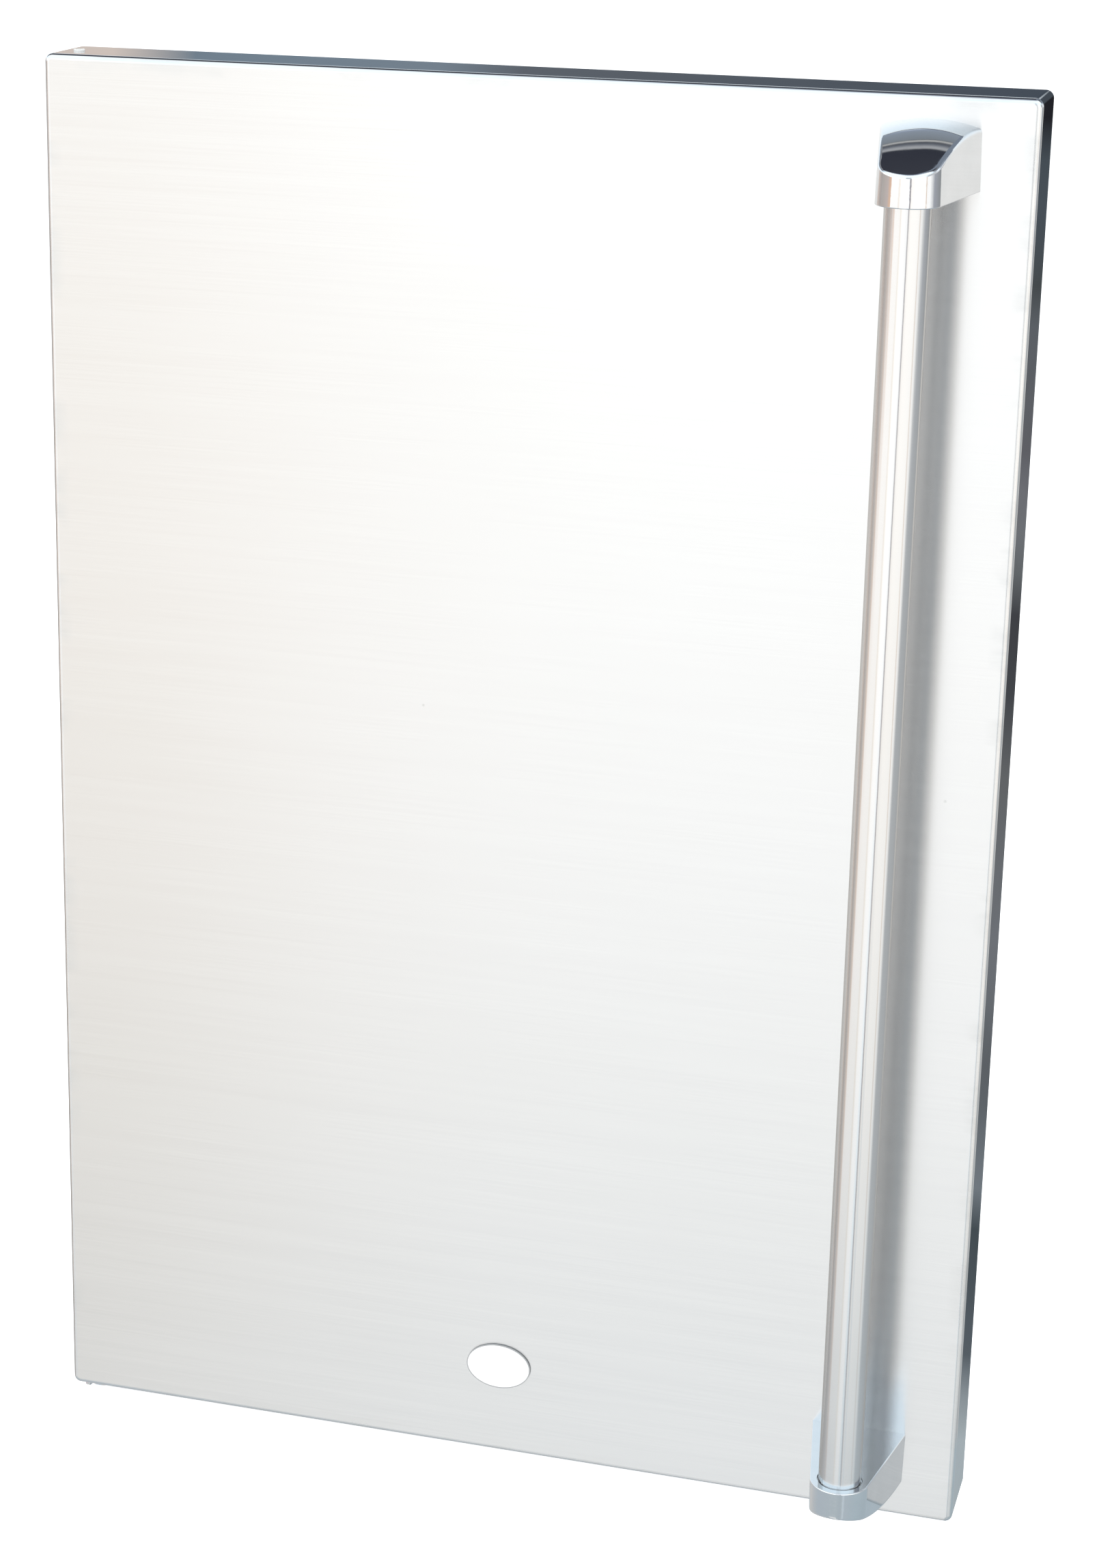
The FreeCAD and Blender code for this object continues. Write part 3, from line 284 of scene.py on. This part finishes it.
def upward(tree, height, table):
    """Colours by elevation."""
    return tree.ramp(height, [(at_elevation(angle), color) for angle, color in table])


def past(tree, turn, none, whole):
    """A mask that rises from 0 at one azimuth to 1 at another."""
    return tree.span(turn, at_azimuth(none), at_azimuth(whole))


def before(tree, turn, whole, none):
    """A mask that falls from 1 at one azimuth to 0 at another."""
    return tree.span(turn, at_azimuth(whole), at_azimuth(none), 1.0, 0.0)


def sector(tree, turn, rise, fall):
    """A mask that rises from 0 to 1 between two azimuths and falls back between two more."""
    return tree.math("MULTIPLY", past(tree, turn, *rise), before(tree, turn, *fall))


def under(tree, height, whole, none):
    """A mask that is 1 below one elevation and 0 above another."""
    return tree.span(height, at_elevation(whole), at_elevation(none), 1.0, 0.0)


def ground_mask(tree, turn, height, aside):
    """Where the ground shows below the walls."""
    mirrored = under(tree, height, *MIRRORED_GROUND_BELOW)
    beside = under(tree, height, *ASIDE_GROUND_BELOW)
    post = tree.math("MULTIPLY", under(tree, height, *POST_BELOW), sector(tree, turn, *POST_SECTOR))
    return tree.math("MAXIMUM", post, tree.mix(aside, mirrored, beside))


def studio_walls(tree, turn, height):
    """The surroundings up to eye level: pale in front, a thin dark gap, dim sides, blue-grey ground."""
    walls = around(tree, turn, WALLS_BY_AZIMUTH)
    walls = tree.mix(1.0, walls, upward(tree, height, WALLS_BY_ELEVATION), "MULTIPLY")
    lower = under(tree, height, *WALL_SPLIT)
    right_low = tree.math("MULTIPLY", lower, sector(tree, turn, *RIGHT_LOW_SECTOR))
    walls = tree.mix(right_low, walls, RIGHT_LOW_WALL)
    upper = tree.math("SUBTRACT", 1.0, lower)
    left_high = tree.math("MULTIPLY", upper, sector(tree, turn, *LEFT_HIGH_SECTOR))
    walls = tree.mix(left_high, walls, around(tree, turn, LEFT_HIGH_WALL_BY_AZIMUTH))
    cool = tree.math("MULTIPLY", under(tree, height, *COOL_BELOW), sector(tree, turn, *COOL_SECTOR))
    walls = tree.mix(tree.math("MULTIPLY", cool, COOL_SHARE), walls, COOL_TINT, "MULTIPLY")

    aside = past(tree, turn, *ASIDE_FROM)
    mirrored = tree.math("SUBTRACT", 1.0, aside)
    near = tree.math("MULTIPLY", mirrored, under(tree, height, *NEAR_GROUND_BELOW))
    ground = tree.mix(near, around(tree, turn, GROUND_BY_AZIMUTH), NEAR_GROUND)
    return tree.mix(ground_mask(tree, turn, height, aside), walls, ground)


def sky_behind(tree, turn, height):
    """Broken cloud behind the door, bowed down towards the left and dimmed to the right."""
    past_start = tree.math("MAXIMUM", tree.math("SUBTRACT", at_azimuth(BOW_START), turn), 0.0)
    lean = tree.math("MINIMUM", past_start, BOW_LIMIT)
    rise = tree.math("MULTIPLY", tree.math("MULTIPLY", lean, lean), BOW_CURVE)
    sky = upward(tree, tree.math("ADD", height, rise), SKY_BEHIND_BY_ELEVATION)
    return tree.mix(sector(tree, turn, *DIM_SKY_SECTOR), sky, DIM_SKY)


def screen_mask(tree, turn, elevation):
    """Where the grey screens stand, at the door's own height."""
    ahead_right = past(tree, turn, *SCREEN_AHEAD_RIGHT)
    ahead_left = before(tree, turn, *SCREEN_AHEAD_LEFT)
    ahead = tree.math("MAXIMUM", ahead_right, ahead_left)
    across = tree.math("MAXIMUM", ahead, sector(tree, turn, *SCREEN_BESIDE_SECTOR))
    foot = tree.span(elevation, *SCREEN_FOOT)
    top = tree.span(elevation, *SCREEN_TOP, 1.0, 0.0)
    return tree.math("MULTIPLY", tree.math("MULTIPLY", foot, top), across)


def make_world():
    """The studio that glossy rays see; diffuse rays see an even grey, and the camera sees plain white."""
    world = bpy.data.worlds.new("studio")
    world.use_nodes = True
    scene.world = world
    tree = Tree(world.node_tree)
    direction = tree.put("ShaderNodeTexCoord").outputs["Generated"]
    axes = tree.put("ShaderNodeSeparateXYZ", {0: direction}).outputs
    turn = tree.math("MULTIPLY_ADD", tree.math("ARCTAN2", axes["X"], axes["Y"]), 0.5 / math.pi, 0.5)
    elevation = tree.math("MULTIPLY", tree.math("ARCSINE", axes["Z"]), 180 / math.pi)
    height = tree.span(elevation, -90, 90)
    behind = tree.span(axes["Y"], 0.0, 0.2)

    walls = studio_walls(tree, turn, height)
    yard = upward(tree, height, YARD_BY_ELEVATION)
    low = tree.mix(sector(tree, turn, *YARD_SECTOR), walls, yard)
    skyline = tree.mix(behind, walls, around(tree, turn, SKYLINE_BY_AZIMUTH))
    low = tree.mix(tree.span(elevation, *HORIZON), low, skyline)

    sky_in_front = upward(tree, height, SKY_IN_FRONT_BY_ELEVATION)
    high = tree.mix(behind, sky_in_front, sky_behind(tree, turn, height))
    sky_in_front_mask = tree.span(elevation, *SKY_IN_FRONT_FROM)
    sky_mask = tree.mix(behind, sky_in_front_mask, tree.span(elevation, *SKY_BEHIND_FROM))
    studio = tree.mix(sky_mask, low, high)
    studio = tree.mix(screen_mask(tree, turn, elevation), studio, SCREEN)
    studio = tree.mix(1.0, studio, STUDIO_LEVEL, "MULTIPLY")

    rays = tree.put("ShaderNodeLightPath").outputs
    color = tree.mix(rays["Is Diffuse Ray"], studio, DIFFUSE_FILL)
    color = tree.mix(rays["Is Camera Ray"], color, CAMERA_WHITE)
    background = world.node_tree.nodes["Background"]
    tree.feed(background.inputs["Color"], color)
    background.inputs["Strength"].default_value = 1.0


def make_lights():
    """Large soft boxes that light the plastics and stay out of the steel's reflections."""
    for name, position, size, power in LIGHTS:
        data = bpy.data.lights.new(name, "AREA")
        data.shape = "RECTANGLE"
        data.size, data.size_y = size
        data.energy = power
        lamp = bpy.data.objects.new(name, data)
        scene.collection.objects.link(lamp)
        lamp.location = position
        lamp.rotation_mode = "QUATERNION"
        lamp.rotation_quaternion = (Vector(LIGHT_AIM) - Vector(position)).to_track_quat("-Z", "Y")
        lamp.visible_glossy = False


def make_floor():
    """A plain pale floor of square faces just under the part."""
    level = cad_low.z - FLOOR_GAP
    row = FLOOR_SQUARES + 1
    marks = [-FLOOR_HALF_SIDE + 2 * FLOOR_HALF_SIDE * i / FLOOR_SQUARES for i in range(row)]
    points = [(x, y, level) for y in marks for x in marks]
    corners = [j * row + i for j in range(FLOOR_SQUARES) for i in range(FLOOR_SQUARES)]
    faces = [(corner, corner + 1, corner + row + 1, corner + row) for corner in corners]
    mesh = bpy.data.meshes.new("floor")
    mesh.from_pydata(points, [], faces)
    floor = bpy.data.objects.new("floor", mesh)
    scene.collection.objects.link(floor)
    floor.visible_glossy = False
    made, tree, inputs = material("studio_paper")
    tone = tree.noise((3, 3, 3), 3.0)
    tree.feed(inputs["Base Color"], tree.ramp(tone, [(0.3, (0.84, 0.84, 0.84)), (0.7, (0.86, 0.86, 0.86))]))
    inputs["Roughness"].default_value = 1.0
    inputs["Specular IOR Level"].default_value = 0.0
    inputs["Emission Color"].default_value = (1.0, 1.0, 1.0, 1.0)
    inputs["Emission Strength"].default_value = FLOOR_GLOW
    mesh.materials.append(made)


# ---------------------------------------------------------------- materials
def brushed_steel(name, grain, color, roughness, anisotropy=0.0):
    """Stainless steel with grain along the axis of the smallest scale; its reflections can smear along Z."""
    made, tree, inputs = material(name)
    fine = tree.noise(grain, 3.0, 0.6)
    cloud = tree.noise((9, 9, 9), 3.0, 0.55)
    dark = tuple(c * 0.95 for c in color)
    base = tree.ramp(fine, [(0.32, dark), (0.66, color)])
    tree.feed(inputs["Base Color"], tree.mix(0.5, base, tree.ramp(cloud, [(0.3, dark), (0.7, color)])))
    inputs["Metallic"].default_value = 1.0
    rough = tree.math("ADD", tree.span(fine, 0.3, 0.7, roughness * 0.92, roughness * 1.08),
                      tree.span(cloud, 0.3, 0.7, -0.01, 0.015))
    tree.feed(inputs["Roughness"], rough)
    if anisotropy:
        inputs["Anisotropic"].default_value = anisotropy
        tree.feed(inputs["Tangent"], tree.put("ShaderNodeCombineXYZ", {2: 1.0}).outputs[0])
    tree.feed(inputs["Normal"], tree.bump(fine, 0.03, 0.00003))
    return made


def near_edges(tree, low, high, reach):
    """A mask that rises from 0 to 1 within a reach of the door's side, top and bottom edges."""
    axes = tree.put("ShaderNodeSeparateXYZ", {0: tree.put("ShaderNodeTexCoord").outputs["Object"]}).outputs
    mask = None
    for axis, index in (("X", 0), ("Z", 2)):
        middle, half = (low[index] + high[index]) / 2, (high[index] - low[index]) / 2
        away = tree.math("ABSOLUTE", tree.math("SUBTRACT", axes[axis], middle))
        side = tree.span(away, half - reach, half)
        mask = side if mask is None else tree.math("MAXIMUM", mask, side)
    return mask


def specks(tree, spacing, size):
    """Sparse small marks: 1 at a few scattered points, 0 elsewhere."""
    cells = tree.put("ShaderNodeTexVoronoi", {"Vector": tree.place((1 / spacing,) * 3), "Scale": 1.0})
    dot = tree.span(cells.outputs["Distance"], size * 0.5 / spacing, size / spacing, 1.0, 0.0)
    pick = tree.put("ShaderNodeSeparateXYZ", {0: cells.outputs["Color"]}).outputs["X"]
    return tree.math("MULTIPLY", dot, tree.span(pick, 0.72, 0.74))


def skin_steel():
    """The door's pan: a face brushed sideways, near-mirror folded edges and light wear by the edges."""
    made, tree, inputs = material("skin_steel")
    low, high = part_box("door_skin")
    fine = tree.noise((10, 900, 1700), 3.0, 0.6)
    coarse = tree.noise((1.6, 60, 150), 2.0, 0.5)
    cloud = tree.noise((4, 4, 7), 3.0, 0.55)
    smudge = tree.noise((18, 18, 34), 4.0, 0.6)
    wear = tree.math("MULTIPLY", near_edges(tree, low, high, 0.010), tree.span(smudge, 0.50, 0.62))
    nicks = specks(tree, 0.045, 0.0011)
    normal = tree.put("ShaderNodeTexCoord").outputs["Normal"]
    facing = tree.put("ShaderNodeSeparateXYZ", {0: normal}).outputs["Y"]
    face = tree.span(facing, -0.95, -0.6, 1.0, 0.0)
    streak = tree.mix(0.35, fine, coarse)
    base = tree.ramp(streak, [(0.30, (0.675, 0.676, 0.678)), (0.68, (0.705, 0.705, 0.703))])
    tint = tree.ramp(cloud, [(0.3, (0.985, 0.985, 0.98)), (0.7, (1.0, 1.0, 1.0))])
    base = tree.mix(1.0, base, tint, "MULTIPLY")
    base = tree.mix(tree.math("MULTIPLY", wear, 0.25), base, (0.50, 0.49, 0.47))
    tree.feed(inputs["Base Color"], tree.mix(tree.math("MULTIPLY", nicks, 0.30), base, (0.42, 0.41, 0.40)))
    inputs["Metallic"].default_value = 1.0
    worn = tree.math("MULTIPLY", wear, 0.06)
    face_rough = tree.math("ADD", tree.span(streak, 0.3, 0.7, 0.215, 0.245), worn)
    speckle = tree.noise((260, 260, 260), 2.0, 0.6)
    speckled = tree.span(speckle, 0.3, 0.7, 0.0, 0.010)
    edge_rough = tree.math("ADD", tree.span(smudge, 0.3, 0.7, 0.010, 0.016), speckled)
    tree.feed(inputs["Roughness"], tree.mix(face, edge_rough, face_rough))
    inputs["Anisotropic"].default_value = 0.85
    across = tree.math("SUBTRACT", 1.0, face)
    tree.feed(inputs["Tangent"], tree.put("ShaderNodeCombineXYZ", {0: across, 2: 1.0}).outputs[0])
    relief = tree.math("SUBTRACT", fine, tree.math("MULTIPLY", nicks, 2.0))
    tree.feed(inputs["Normal"], tree.bump(relief, 0.025, 0.00003))
    return made


def chrome():
    """Polished plating over a cast body: faint waviness, fine wiping marks and a few pits."""
    made, tree, inputs = material("bracket_chrome")
    cloud = tree.noise((60, 60, 60), 3.0, 0.5)
    ripple = tree.noise((38, 38, 38), 1.0, 0.4)
    wiped = tree.noise((300, 300, 40), 3.0, 0.6)
    pits = specks(tree, 0.016, 0.0006)
    base = tree.ramp(cloud, [(0.3, (0.67, 0.68, 0.69)), (0.7, (0.71, 0.715, 0.725))])
    tree.feed(inputs["Base Color"], tree.mix(tree.math("MULTIPLY", pits, 0.5), base, (0.20, 0.20, 0.21)))
    inputs["Metallic"].default_value = 1.0
    tree.feed(inputs["Roughness"], tree.math("ADD", tree.span(cloud, 0.3, 0.7, 0.02, 0.05),
                                             tree.span(wiped, 0.35, 0.7, 0.0, 0.03)))
    relief = tree.math("SUBTRACT", ripple, tree.math("MULTIPLY", pits, 0.15))
    tree.feed(inputs["Normal"], tree.bump(relief, 0.08, 0.0005))
    return made


def zinc_steel():
    """Galvanised steel: faint spangles under a dull grain."""
    made, tree, inputs = material("zinc_steel")
    spangles = tree.put("ShaderNodeTexVoronoi", {"Vector": tree.place((220, 220, 220)), "Scale": 1.0})
    grain = tree.noise((900, 900, 900))
    tree.feed(inputs["Base Color"], tree.mix(0.18, (0.62, 0.63, 0.65), spangles.outputs["Color"], "MULTIPLY"))
    inputs["Metallic"].default_value = 1.0
    tree.feed(inputs["Roughness"], tree.span(grain, 0.3, 0.7, 0.30, 0.42))
    tree.feed(inputs["Normal"], tree.bump(grain, 0.12, 0.00005))
    return made


def plastic(name, color, roughness, grain_scale, bump_strength, coat=0.0):
    """Moulded plastic: fine texture, slightly uneven gloss and colour."""
    made, tree, inputs = material(name)
    grain = tree.noise((grain_scale,) * 3, 2.0, 0.6)
    cloud = tree.noise((11, 11, 11), 3.0, 0.5)
    darker = tuple(c * 0.95 for c in color)
    tree.feed(inputs["Base Color"], tree.ramp(cloud, [(0.3, darker), (0.7, color)]))
    fine_rough = tree.span(grain, 0.3, 0.7, roughness - 0.04, roughness + 0.05)
    tree.feed(inputs["Roughness"], tree.math("ADD", fine_rough, tree.span(cloud, 0.3, 0.7, -0.03, 0.03)))
    inputs["Coat Weight"].default_value = coat
    tree.feed(inputs["Normal"], tree.bump(grain, bump_strength, 0.0001))
    return made


def foam():
    """Rigid yellow foam with fine open cells."""
    made, tree, inputs = material("rigid_foam")
    cells = tree.put("ShaderNodeTexVoronoi", {"Vector": tree.place((1400, 1400, 1400)), "Scale": 1.0})
    cloud = tree.noise((30, 30, 30), 3.0)
    tree.feed(inputs["Base Color"], tree.ramp(cloud, [(0.3, (0.72, 0.62, 0.36)), (0.7, (0.82, 0.74, 0.50))]))
    inputs["Roughness"].default_value = 0.9
    tree.feed(inputs["Normal"], tree.bump(cells.outputs["Distance"], 0.3, 0.0003))
    return made


def dress_nodes():
    """Gives every CAD node its procedural material."""
    tube = brushed_steel("tube_steel", (14, 14, 1500), (0.70, 0.70, 0.70), 0.17, 0.8)
    shader = tube.node_tree.nodes["Principled BSDF"]
    shader.inputs["Specular Tint"].default_value = (0.70, 0.68, 0.66, 1.0)
    fixing = brushed_steel("fixing_steel", (500, 500, 500), (0.56, 0.56, 0.57), 0.26)
    rail = brushed_steel("rail_chrome", (60, 700, 700), (0.62, 0.63, 0.64), 0.08)
    pin = brushed_steel("pin_steel", (400, 400, 900), (0.58, 0.58, 0.58), 0.20)
    bright, galvanised = chrome(), zinc_steel()
    white_nylon = plastic("bush_nylon", (0.86, 0.85, 0.82), 0.42, 900, 0.15)
    liner = plastic("liner_plastic", (0.64, 0.65, 0.65), 0.34, 380, 0.20)
    rack = plastic("rack_plastic", (0.56, 0.60, 0.62), 0.24, 600, 0.08, 0.3)
    vinyl = plastic("gasket_vinyl", (0.52, 0.53, 0.53), 0.52, 1100, 0.20)
    magnet = plastic("magnet_strip", (0.035, 0.032, 0.032), 0.6, 900, 0.3)
    pad = plastic("adhesive_pad", (0.03, 0.03, 0.03), 0.8, 1500, 0.4)
    face = plastic("badge_face", (0.88, 0.88, 0.87), 0.16, 900, 0.03, 0.6)
    bezel = plastic("badge_rim", (0.36, 0.36, 0.36), 0.45, 700, 0.05)
    dress = {
        "door_skin": skin_steel(), "foam_core": foam(), "inner_liner": liner, "gasket": vinyl,
        "gasket_magnets": magnet, "liner_screws": fixing, "upper_hinge_bush": white_nylon,
        "lower_hinge_bush": white_nylon, "upper_hinge_reinforcement": galvanised,
        "lower_hinge_reinforcement": galvanised, "door_stop": galvanised, "door_stop_screws": fixing,
        "hinge_plate": galvanised, "hinge_pin": pin, "hinge_washer": white_nylon, "handle_tube": tube,
        "upper_handle_bracket": bright, "lower_handle_bracket": bright, "handle_grub_screws": fixing,
        "handle_screws": fixing, "handle_washers": fixing, "upper_handle_backing_plate": galvanised,
        "lower_handle_backing_plate": galvanised, "badge_adhesive": pad, "badge_bezel": bezel,
        "badge_insert": face, "top_rack": rack, "middle_rack": rack, "bottle_rack": rack,
        "bottle_rack_rail": rail,
    }
    for node, look in dress.items():
        slots = frame["nodes"][node].data.materials
        for index in range(len(slots)):
            slots[index] = look


make_camera()
make_world()
make_lights()
make_floor()
dress_nodes()
scene.view_settings.view_transform = "Standard"
